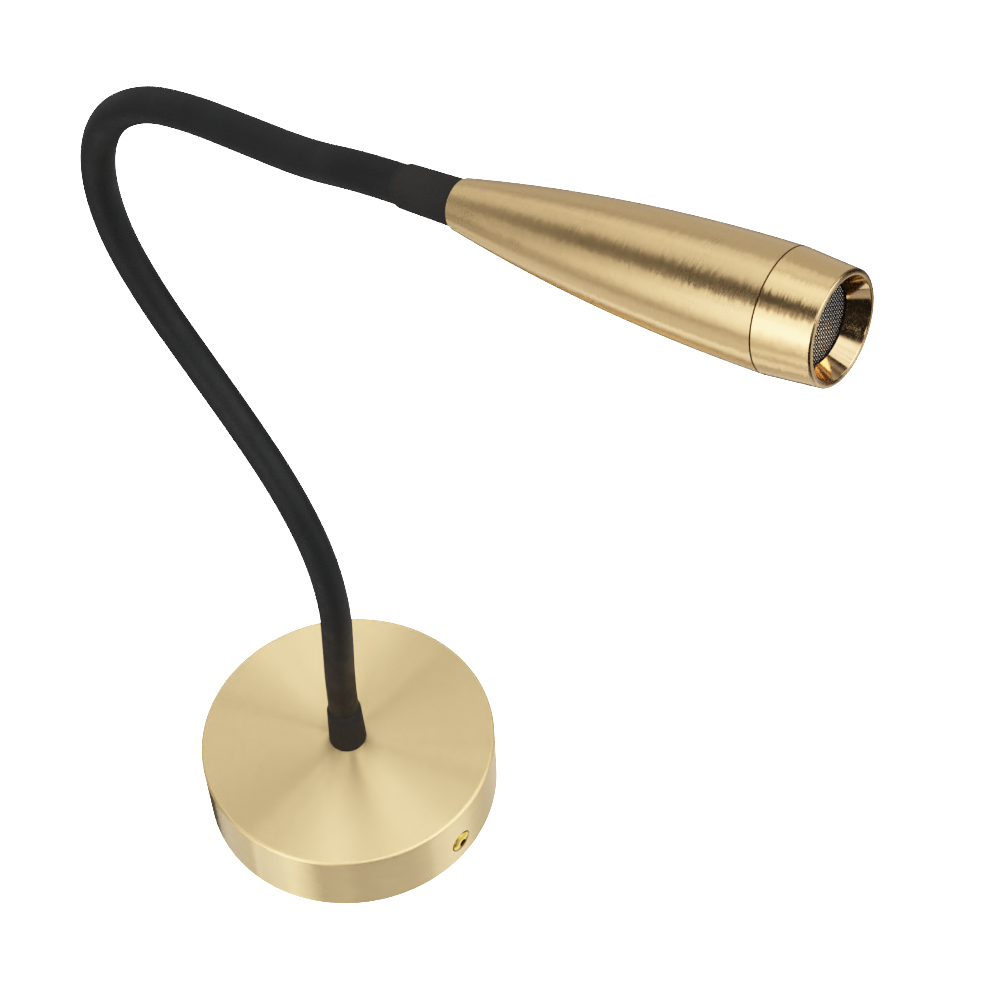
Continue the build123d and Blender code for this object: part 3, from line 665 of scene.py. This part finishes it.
GIVE = {
    "canopy_cover": mat_inside, "wall_bracket": mat_zinc, "canopy_side_screws": mat_screw, "earth_screw": mat_tinned, "earth_lug": mat_tinned,
    "earth_lead": mat_earth, "terminal_block": mat_white, "terminal_clamps": mat_tinned, "terminal_screws": mat_zinc, "terminal_fixing_screw": mat_zinc,
    "driver_case": mat_case, "driver_lid": mat_case, "driver_board": mat_pcb, "driver_components": mat_component, "driver_tape": mat_foam,
    "mains_leads": mat_mains, "base_ferrule": mat_zinc, "base_nut": mat_zinc, "base_lock_washer": mat_zinc, "lower_collar": mat_collar,
    "head_ferrule": mat_zinc, "upper_collar": mat_collar, "head_shell": mat_inside, "heat_sink": mat_sink, "led_board": mat_led_board,
    "led_chip": mat_phosphor, "board_screws": mat_zinc, "led_leads": mat_led_leads, "lens_holder": mat_plastic, "tir_lens": mat_lens,
    "mesh_retaining_ring": mat_plastic, "anti_glare_mesh": mat_mesh, "front_bezel": mat_inside, "bezel_o_ring": mat_black,
}
for i in range(1, 10):
    GIVE[f"neck_core_{i}"] = mat_hose
for i in range(1, 9):
    GIVE[f"neck_sleeve_{i}"] = mat_black
    GIVE[f"led_cable_{i}"] = mat_cable
for name, node in NODES.items():
    node.data.materials.clear()
    node.data.materials.append(GIVE[name])


# ------------------------------------------------------------------ canopy
def cone_cutter(name, points, turn, seg=96):
    """Closed turned cutter, its axis along canopy Y, at the side screws' height."""
    verts, faces = [], []
    for r, z in points:
        verts += [(r * MM * math.cos(2 * math.pi * j / seg), r * MM * math.sin(2 * math.pi * j / seg), z * MM) for j in range(seg)]
    for i in range(len(points) - 1):
        for j in range(seg):
            jj = (j + 1) % seg
            faces.append((i * seg + j, i * seg + jj, (i + 1) * seg + jj, (i + 1) * seg + j))
    faces.append(list(range(seg))[::-1])
    faces.append([(len(points) - 1) * seg + j for j in range(seg)])
    # the cut walls of the screw holes take the painted shade (index 3)
    return add_object(name, verts, faces, Matrix.Translation((0, 0, 9.9 * MM)) @ Matrix.Rotation(math.radians(turn), 4, "X"),
                      (mat_plate, mat_inside, mat_rim, mat_hollow_shade), [3] * len(faces))


D, R = CANOPY_DEPTH, 50.0
q = math.sqrt(0.5)
cover_profile = [
    (4.1, D), (R - 1.0, D), {"mat": 4}, ("arc", (R - 1 + q, D - 1 + q), (R, D - 1.0), 14), {"mat": 2}, (R, 0.25), (R - 0.25, 0.0), {"mat": 1}, (R - 1.6, 0.0), (R - 1.6, D - 2.2),
    ("arc", (R - 2.2 + 0.6 * q, D - 2.2 + 0.6 * q), (R - 2.2, D - 1.6), 6), (4.1, D - 1.6)]
cutters = [cone_cutter(f"cut_{k}", [(2.35, 46.0), (2.35, 48.35), (3.9, 49.55), (4.55, 50.3)], a) for k, a in (("up", 90), ("down", -90))]
cover = lathe("canopy_cover_turned", cover_profile, BASE, (mat_plate, mat_inside, mat_rim, mat_hollow_shade, mat_edge), seg=360, cutters=cutters)
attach(cover, "canopy")
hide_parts("canopy_cover")


for way in (1, -1):
    at = frame_matrix(Vector((0, -9.9, 0)), Vector((1, 0, 0)), Vector((0, 0, way)))
    hexagon = [(2.5 / math.sqrt(3) * math.cos(math.radians(60 * k + 20)), 2.5 / math.sqrt(3) * math.sin(math.radians(60 * k + 20))) for k in range(6)]
    hv = [(x * MM, y * MM, z * MM) for z in (49.1, 52.0) for x, y in hexagon]
    hf = [(k, (k + 1) % 6, 6 + (k + 1) % 6, 6 + k) for k in range(6)] + [tuple(range(6))[::-1], tuple(range(6, 12))]
    key = add_object("hex", hv, hf, None, (mat_screw,))
    head = lathe(f"side_screw_{'up' if way > 0 else 'down'}", [
        (0, 40), (1.98, 40), (1.98, 48.08), (3.72, 49.82), ("arc", (3.80, 49.93), (3.74, 50.06), 6), ("arc", (1.95, 50.58), (0, 50.75), 14)],
        at, (mat_screw,), seg=96, step=1.0, cutters=(key,))
    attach(head, "canopy")
    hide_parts("canopy_side_screws")


# ------------------------------------------------------------------ head
def circle_through(a, b, c):
    (x1, y1), (x2, y2), (x3, y3) = a, b, c
    d = 2 * (x1 * (y2 - y3) + x2 * (y3 - y1) + x3 * (y1 - y2))
    cx = ((x1 ** 2 + y1 ** 2) * (y2 - y3) + (x2 ** 2 + y2 ** 2) * (y3 - y1) + (x3 ** 2 + y3 ** 2) * (y1 - y2)) / d
    cy = ((x1 ** 2 + y1 ** 2) * (x3 - x2) + (x2 ** 2 + y2 ** 2) * (x1 - x3) + (x3 ** 2 + y3 ** 2) * (x2 - x1)) / d
    return cx, cy, math.hypot(x1 - cx, y1 - cy)


belly = circle_through((HEAD_REAR_R, 0.0), ((HEAD_REAR_R + SEAM_R) / 2 + BELLY, SHELL_L / 2), (SEAM_R, SHELL_L))


def shell_r(z):
    return belly[0] + math.sqrt(belly[2] ** 2 - (z - belly[1]) ** 2)


SL, HL = SHELL_L, HEAD_L
# the shell's face at the seam (index 2) takes the painted shade
shell_profile = [
    (4.02, 0.0), (HEAD_REAR_R - 0.35, 0.0), ("arc", (HEAD_REAR_R - 0.35 + 0.252, 0.1), (shell_r(0.35), 0.35), 6),
    ("arc", (shell_r(44.0), 44.0), (shell_r(SL - 0.12), SL - 0.12), 120), {"mat": 2}, (SEAM_R - 0.14, SL), (12.5, SL), {"mat": 1}, (12.5, 79.0),
    (11.02, 79.0), (11.02, 47.0), (6.2, 12.0), (4.02, 12.0)]
shell = lathe("head_shell_turned", shell_profile, HEAD, (mat_shell, mat_inside, mat_hollow_shade), seg=240)
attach(shell, "head")
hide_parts("head_shell")

# the seam faces (index 4) take the painted shade
bezel_profile = [
    (SEAM_R - 0.14, SL + 0.12), {"mat": 4}, (SEAM_R - 0.02, SL + 0.26), {"mat": 0}, (LIP_R, HL - 0.60), {"mat": 1},
    ("arc", (LIP_R - 0.22, HL - 0.20), (LIP_R - 0.75, HL), 12), ("arc", (LIP_IN_R + 0.30, HL - 0.06), (LIP_IN_R + 0.02, HL - 0.22), 8), {"mat": 2},
    (LIP_IN_R - 0.06, HL - 0.4), (MESH_R + 0.05, MESH_AT), {"mat": 5}, (MESH_R, MESH_AT - 0.05), (MESH_R, 96.57), (10.6, 96.57), {"mat": 3}, (10.6, 80.2),
    (12.46, 80.2), (12.46, 84.9), (11.65, 84.9), (11.65, 86.1), (12.46, 86.1), (12.46, SL + 0.12), {"mat": 4}]
# the bezel's step round the mesh (index 5) is near-black painted shade
bezel = lathe("front_bezel_turned", bezel_profile, HEAD, (mat_cap, mat_lip, mat_bright, mat_inside, mat_hollow_shade, mat_step_shade), seg=240, step=1.0)
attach(bezel, "head")
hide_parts("front_bezel")


# ------------------------------------------------------------------ collars, with a shoulder that runs out onto the sleeve
def collar(name, matrix, node, foot, top_r, way, out, base):
    """Turned collar; way is the direction of its neck end along Z, out its length, base where its foot starts."""
    z = lambda v: way * v
    a, b, run = top_r, NECK_R + 0.012, 1.7
    mid_r, mid_z = (a + b) / 2, out - run / 2
    pts = [(5.06, z(0.02)), *foot, (a + 0.01, z(out - run)), ("arc", (a - (a - b) * 0.155, z(out - run * 0.75)), (mid_r, z(mid_z)), 8),
           ("arc", (b + (a - b) * 0.155, z(out - run * 0.25)), (b, z(out)), 8), (b, z(14.4)), (4.54, z(14.4)), (4.54, z(2.1)), (5.06, z(2.1))]
    ob = lathe(name, pts, matrix, (mat_collar,), seg=120)
    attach(ob, base)
    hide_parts(node)


LOWER_R, UPPER_R = (6.35, 5.75), (5.85, 5.525)
FRONT = BASE @ Matrix.Translation((0, 0, CANOPY_DEPTH * MM))
collar("lower_collar_turned", FRONT, "lower_collar", [(LOWER_R[0] - 0.3, 0.02), (LOWER_R[0], 0.32)], LOWER_R[1], 1, 18.0, "canopy")
collar("upper_collar_turned", HEAD, "upper_collar", [(UPPER_R[0], -0.02)], UPPER_R[1], -1, 18.0, "head")


# woven guard: close crimped wires over and under wider-spaced, almost straight ones
def woven(families, wire_r, z0, limit, steps=8, seg=8):
    verts, faces = [], []
    for fam, (turn, pitch, cross, wave) in enumerate(families):
        cx, sx = math.cos(math.radians(turn)), math.sin(math.radians(turn))
        n = int(limit / pitch) + 1
        for idx, off in enumerate((k + 0.5) * pitch for k in range(-n, n)):
            if abs(off) + wire_r >= limit:
                continue
            reach = math.sqrt(limit ** 2 - (abs(off) + wire_r) ** 2)
            count = max(4, int(2 * reach / cross * steps))
            start = len(verts)
            side = 1 if (idx + n + fam) % 2 else -1
            for i in range(count + 1):
                u = -reach + 2 * reach * i / count
                ph = math.pi * (u / cross - 0.5)
                h = side * wave * math.cos(ph)
                dh = -side * wave * math.sin(ph) * math.pi / cross
                ln = math.hypot(1.0, dh)
                nu, nz = -dh / ln, 1.0 / ln
                for j in range(seg):
                    w = 2 * math.pi * j / seg
                    a, b = wire_r * math.cos(w), wire_r * math.sin(w)
                    uu, vv, zz = u + nu * b, off + a, z0 + h + nz * b
                    verts.append(((uu * cx - vv * sx) * MM, (uu * sx + vv * cx) * MM, zz * MM))
            for i in range(count):
                for j in range(seg):
                    jj = (j + 1) % seg
                    faces.append((start + i * seg + jj, start + i * seg + j, start + (i + 1) * seg + j, start + (i + 1) * seg + jj))
            a = [start + j for j in range(seg)]
            b = [start + count * seg + j for j in range(seg)]
            faces.append(a)
            faces.append(b[::-1])
    return verts, faces


CLOSE, WIDE = 0.57, 0.97
gv, gf = woven(((112.9, CLOSE, WIDE, 0.175), (22.9, WIDE, CLOSE, -0.105)), 0.138, 96.235, 10.30)
rim_seg, rim_at = 120, len(gv)
rim = [(9.75, 95.92), (10.5, 95.92), (10.5, 96.55), (9.75, 96.55)]
for r, z in rim:
    gv += [(r * MM * math.cos(2 * math.pi * j / rim_seg), r * MM * math.sin(2 * math.pi * j / rim_seg), z * MM) for j in range(rim_seg)]
for i in range(4):
    for j in range(rim_seg):
        jj, k = (j + 1) % rim_seg, (i + 1) % 4
        gf.append((rim_at + i * rim_seg + j, rim_at + i * rim_seg + jj, rim_at + k * rim_seg + jj, rim_at + k * rim_seg + j))
guard = add_object("guard_woven", gv, gf, HEAD, (mat_mesh,))
guard.data.set_sharp_from_angle(angle=math.radians(50))
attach(guard, "head")
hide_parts("anti_glare_mesh")

# ------------------------------------------------------------------ neck: sleeve, hose and cable, one piece over each joint, in the rest shape
BODIES = ["canopy"] + [f"neck_{i}" for i in range(1, HINGES)] + ["head"]
HOSE_PITCH = 2.4


def hose_shape(s, w):
    """Interlocked strip: a rounded rib that winds round the hose."""
    ph = (s / HOSE_PITCH - w / (2 * math.pi)) % 1.0
    return -0.30 * (0.5 + 0.5 * math.cos(2 * math.pi * ph)) ** 3


def fillet_path(points, radius, step=0.8):
    """Points in canopy frame through the given points, with one rounded corner at each inner point; the caller turns
    them into (row point, right, up, length).
    """
    pts = [Vector(v) for v in points]
    line = [pts[0]]
    for a, b, c in zip(pts, pts[1:], pts[2:]):
        u, v = (a - b).normalized(), (c - b).normalized()
        ang = u.angle(v)
        cut = radius / math.tan(ang / 2)
        n = 10
        centre = b + (u + v).normalized() * (radius / math.sin(ang / 2))
        p0, p1 = b + u * cut, b + v * cut
        e0, e1 = p0 - centre, p1 - centre
        turn = e0.angle(e1)
        for i in range(n + 1):
            w = turn * i / n
            line.append(centre + (e0 * math.sin(turn - w) + e1 * math.sin(w)) / math.sin(turn))
    line.append(pts[-1])
    return line


for i in range(HINGES):
    a, b = BODIES[i], BODIES[i + 1]
    sleeve = tube(f"neck_sleeve_bent_{i + 1}", neck_path(CUTS[i], CUTS[i + 1], 0.9), NECK_R, SLEEVE_IN_R, mat_black, seg=72)
    sleeve.data.set_sharp_from_angle(angle=math.radians(50))
    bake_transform(sleeve)
    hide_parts(f"neck_sleeve_{i + 1}")
    s0 = 4.1 if i == 0 else CUTS[i]
    s1 = NECK_L - 4.1 if i == HINGES - 1 else CUTS[i + 1]
    hose = tube(f"neck_hose_bent_{i + 1}", neck_path(s0, s1, 0.3), CORE_R, CORE_BORE_R, mat_hose, seg=40, shape=hose_shape)
    hose.data.set_sharp_from_angle(angle=math.radians(60))
    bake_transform(hose)
    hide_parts(f"neck_core_{i + 1}", *([f"neck_core_{i + 2}"] if i == HINGES - 1 else []))
    path = neck_path(0.0 if i == 0 else CUTS[i], NECK_L + 14.0 if i == HINGES - 1 else CUTS[i + 1], 1.5)
    if i == 0:
        inner = fillet_path([(19.0, 0.0, 9.4), (0.0, 0.0, 9.4), (0.0, 0.0, D)], 6.0)[:-1]
        lead = []
        for k, q in enumerate(inner):
            row = Vector((q.x, -q.z, q.y))
            nxt = inner[min(k + 1, len(inner) - 1)]
            prv = inner[max(k - 1, 0)]
            tg = Vector((nxt.x - prv.x, -(nxt.z - prv.z), nxt.y - prv.y)).normalized()
            y = Vector((0, 0, -1))
            lead.append((row, y.cross(tg), y, 0.0))
        path = lead + path
    cable = tube(f"led_cable_bent_{i + 1}", path, CABLE_R, 0.0, mat_cable, seg=24)
    cable.data.set_sharp_from_angle(angle=math.radians(50))
    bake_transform(cable)
    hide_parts(f"led_cable_{i + 1}")

# ------------------------------------------------------------------ floor, light, camera
pale = Mat("pale_floor_sweep")
far = pale.vec("LENGTH", pale.vec("MULTIPLY", pale.obj, (1.0, 1.0, 0.0)))
fleck = pale.noise(pale.obj, 7.0, 3.0, 0.5)
pale.set(Base_Color=pale.mix(fleck, (0.78, 0.78, 0.77), (0.82, 0.82, 0.81)), Roughness=pale.span(fleck, 0.3, 0.7, 0.66, 0.74), Emission_Color=(1.0, 1.0, 1.0, 1.0),
         Emission_Strength=pale.math("ADD", pale.span(far, 0.5, 2.6, 0.58, 1.6, smooth=True), pale.span(far, 1.6, 4.6, 0.0, 6.4, smooth=True)))
floor_mat = pale.m
n = 48
fv = [(0.0, 0.0, -1.25)] + [(r * math.cos(2 * math.pi * k / n), r * math.sin(2 * math.pi * k / n), -1.25) for r in (1.0, 2.5, 5.0, 9.0, 16.0) for k in range(n)]
ff = [(0, 1 + k, 1 + (k + 1) % n) for k in range(n)] + [(1 + i * n + k, 1 + (i + 1) * n + k, 1 + (i + 1) * n + (k + 1) % n, 1 + i * n + (k + 1) % n) for i in range(4) for k in range(n)]
floor = add_object("floor", fv, ff, None, (floor_mat,))
floor.visible_glossy = floor.visible_shadow = floor.visible_diffuse = False

scene = bpy.context.scene
scene.view_settings.view_transform = "Standard"
scene.view_settings.look = "None"
scene.view_settings.exposure = 0.0
scene.view_settings.gamma = 1.0

# Studio lamps, far away on all sides: (direction, half width in degrees, how crisp the edge is, brightness)
AMBIENT = 0.020
LAMPS = [
    ((-0.079, -0.669, -0.739), 20.5, 384, 3.19),
    ((0.381, -0.537, -0.753), 22.3, 160, 1.89),
    ((0.033, 0.064, 0.997), 28.3, 18, 0.94),
    ((-0.970, -0.226, -0.090), 14.1, 828, 3.20),
    ((-0.794, -0.600, -0.100), 14.0, 619, 3.20),
    ((0.041, -0.999, 0.019), 15.5, 100, 2.58),
    ((-0.097, 0.975, -0.199), 22.9, 316, 0.96),
    ((-0.995, -0.067, -0.075), 12.3, 842, 3.06),
    ((0.892, -0.156, 0.425), 29.7, 22, 0.52),
    ((0.765, 0.644, 0.003), 17.1, 68, 1.36),
    ((0.364, -0.770, -0.524), 13.0, 429, 2.06),
    ((-0.945, 0.036, 0.324), 17.0, 559, 1.07),
    ((0.671, -0.630, -0.391), 11.4, 1148, 2.17),
    ((0.005, -0.959, 0.284), 17.3, 78, 0.85),
    ((-0.867, -0.350, 0.355), 11.5, 1208, 1.90),
    ((-0.940, 0.337, -0.054), 8.2, 2416, 3.07),
    ((-0.246, -0.952, -0.182), 10.4, 204, 1.87),
    ((-0.799, 0.597, -0.070), 8.7, 2057, 2.43),
    ((0.475, 0.704, -0.529), 15.1, 211, 0.79),
    ((-0.045, -0.764, 0.644), 15.1, 46, 0.63),
    ((0.670, -0.726, 0.157), 12.3, 189, 0.82),
    ((-0.658, 0.714, 0.239), 17.1, 418, 0.40),
    ((-0.400, 0.879, 0.260), 8.4, 2294, 1.36),
    ((-0.376, 0.768, 0.519), 11.1, 1277, 0.74),
    ((-0.702, 0.679, -0.214), 15.7, 527, 0.37),
    ((0.471, -0.773, 0.424), 10.0, 300, 0.90),
    ((-0.974, 0.225, -0.017), 10.9, 374, 0.69),
    ((0.292, -0.671, 0.681), 10.7, 753, 0.71),
    ((-0.309, -0.901, 0.304), 7.3, 3026, 1.31),
    ((0.294, 0.807, -0.512), 10.2, 766, 0.62),
    ((0.562, -0.813, 0.152), 10.3, 418, 0.57),
    ((-0.660, 0.513, 0.549), 9.0, 165, 0.66),
    ((0.176, 0.593, -0.785), 9.7, 224, 0.56),
    ((0.184, 0.808, -0.560), 11.4, 124, 0.39),
    ((0.418, -0.904, -0.090), 5.9, 3274, 1.35),
    ((-0.034, 0.871, 0.490), 5.7, 4972, 1.30),
    ((0.531, 0.767, -0.360), 9.7, 474, 0.38),
    ((-0.977, -0.204, -0.064), 13.8, 55, 0.18),
    ((0.281, -0.953, -0.115), 5.3, 3154, 1.24),
    ((0.142, 0.955, 0.260), 5.6, 3146, 0.78),
    ((0.826, 0.265, 0.497), 9.0, 150, 0.18),
    ((-0.617, 0.612, -0.495), 5.1, 2283, 0.54),
]


# a low lamp behind the wall's lower edge, seen by the side screws' heads only
LAMPS += [((0.45, 0.20, -0.87), 16.0, 60, 2.2)]


def build_world():
    w = bpy.data.worlds.new("studio")
    scene.world = w
    w.use_nodes = True
    nt = w.node_tree
    nt.nodes.clear()
    out = nt.nodes.new("ShaderNodeOutputWorld")

    def math_node(op, *args, clamp=False):
        n = nt.nodes.new("ShaderNodeMath")
        n.operation, n.use_clamp = op, clamp
        for s, v in zip(n.inputs, args):
            if isinstance(v, bpy.types.NodeSocket):
                nt.links.new(v, s)
            else:
                s.default_value = v
        return n.outputs[0]

    d = nt.nodes.new("ShaderNodeTexCoord").outputs["Generated"]
    total = None
    for mid, wide, crisp, power in LAMPS:
        n = nt.nodes.new("ShaderNodeVectorMath")
        n.operation = "DOT_PRODUCT"
        nt.links.new(d, n.inputs[0])
        n.inputs[1].default_value = tuple(Vector(mid).normalized())
        edge = math_node("EXPONENT", math_node("MINIMUM", math_node("MULTIPLY", math_node("SUBTRACT", n.outputs["Value"], math.cos(math.radians(wide))), -crisp), 40.0))
        lit = math_node("DIVIDE", power, math_node("ADD", edge, 1.0))
        total = lit if total is None else math_node("ADD", total, lit)
    total = math_node("MAXIMUM", math_node("ADD", total, AMBIENT), 0.0)
    light = nt.nodes.new("ShaderNodeBackground")
    nt.links.new(total, light.inputs["Strength"])
    light.inputs["Color"].default_value = (1.0, 1.0, 1.0, 1.0)
    plain = nt.nodes.new("ShaderNodeBackground")
    plain.inputs["Color"].default_value = (1.0, 1.0, 1.0, 1.0)
    plain.inputs["Strength"].default_value = 8.0
    mix = nt.nodes.new("ShaderNodeMixShader")
    nt.links.new(nt.nodes.new("ShaderNodeLightPath").outputs["Is Camera Ray"], mix.inputs[0])
    nt.links.new(light.outputs[0], mix.inputs[1])
    nt.links.new(plain.outputs[0], mix.inputs[2])
    nt.links.new(mix.outputs[0], out.inputs[0])
    w.cycles.sampling_method = "MANUAL"
    w.cycles.sample_map_resolution = 1024


build_world()


def film_curve():
    """A camera's response: soft toe and shoulder, 1 - exp(-gain x^toe) on each channel."""
    scene.use_nodes = True
    nt = scene.node_tree
    nt.nodes.clear()
    layers = nt.nodes.new("CompositorNodeRLayers")
    out = nt.nodes.new("CompositorNodeComposite")
    parts = nt.nodes.new("CompositorNodeSeparateColor")
    join = nt.nodes.new("CompositorNodeCombineColor")
    nt.links.new(layers.outputs["Image"], parts.inputs[0])
    for k in range(3):
        v = parts.outputs[k]
        for op, val in (("POWER", FILM_TOE), ("MULTIPLY", -FILM_GAIN), ("EXPONENT", None), ("SUBTRACT", "from 1")):
            n = nt.nodes.new("CompositorNodeMath")
            n.operation = op
            if val == "from 1":
                n.inputs[0].default_value = 1.0
                nt.links.new(v, n.inputs[1])
            else:
                nt.links.new(v, n.inputs[0])
                if val is not None:
                    n.inputs[1].default_value = val
            v = n.outputs[0]
        nt.links.new(v, join.inputs[k])
    nt.links.new(join.outputs[0], out.inputs[0])


FILM_TOE, FILM_GAIN = 1.25, 1.6
film_curve()

cam_data = bpy.data.cameras.new("camera")
cam = bpy.data.objects.new("camera", cam_data)
scene.collection.objects.link(cam)
scene.camera = cam
cam_data.sensor_width, cam_data.lens = 36.0, 82.0105
cam_data.clip_start, cam_data.clip_end = 0.05, 20.0
right, upv, fwd = Vector((0.643206, 0.027905, -0.765185)), Vector((0.603416, -0.633656, 0.484117)), Vector((0.471355, 0.773111, 0.42441))
cm = Matrix((right, upv, -fwd)).transposed().to_4x4()
cm.translation = Vector((-0.2833645, -0.6740988, -0.3293979))
cam.matrix_world = cm
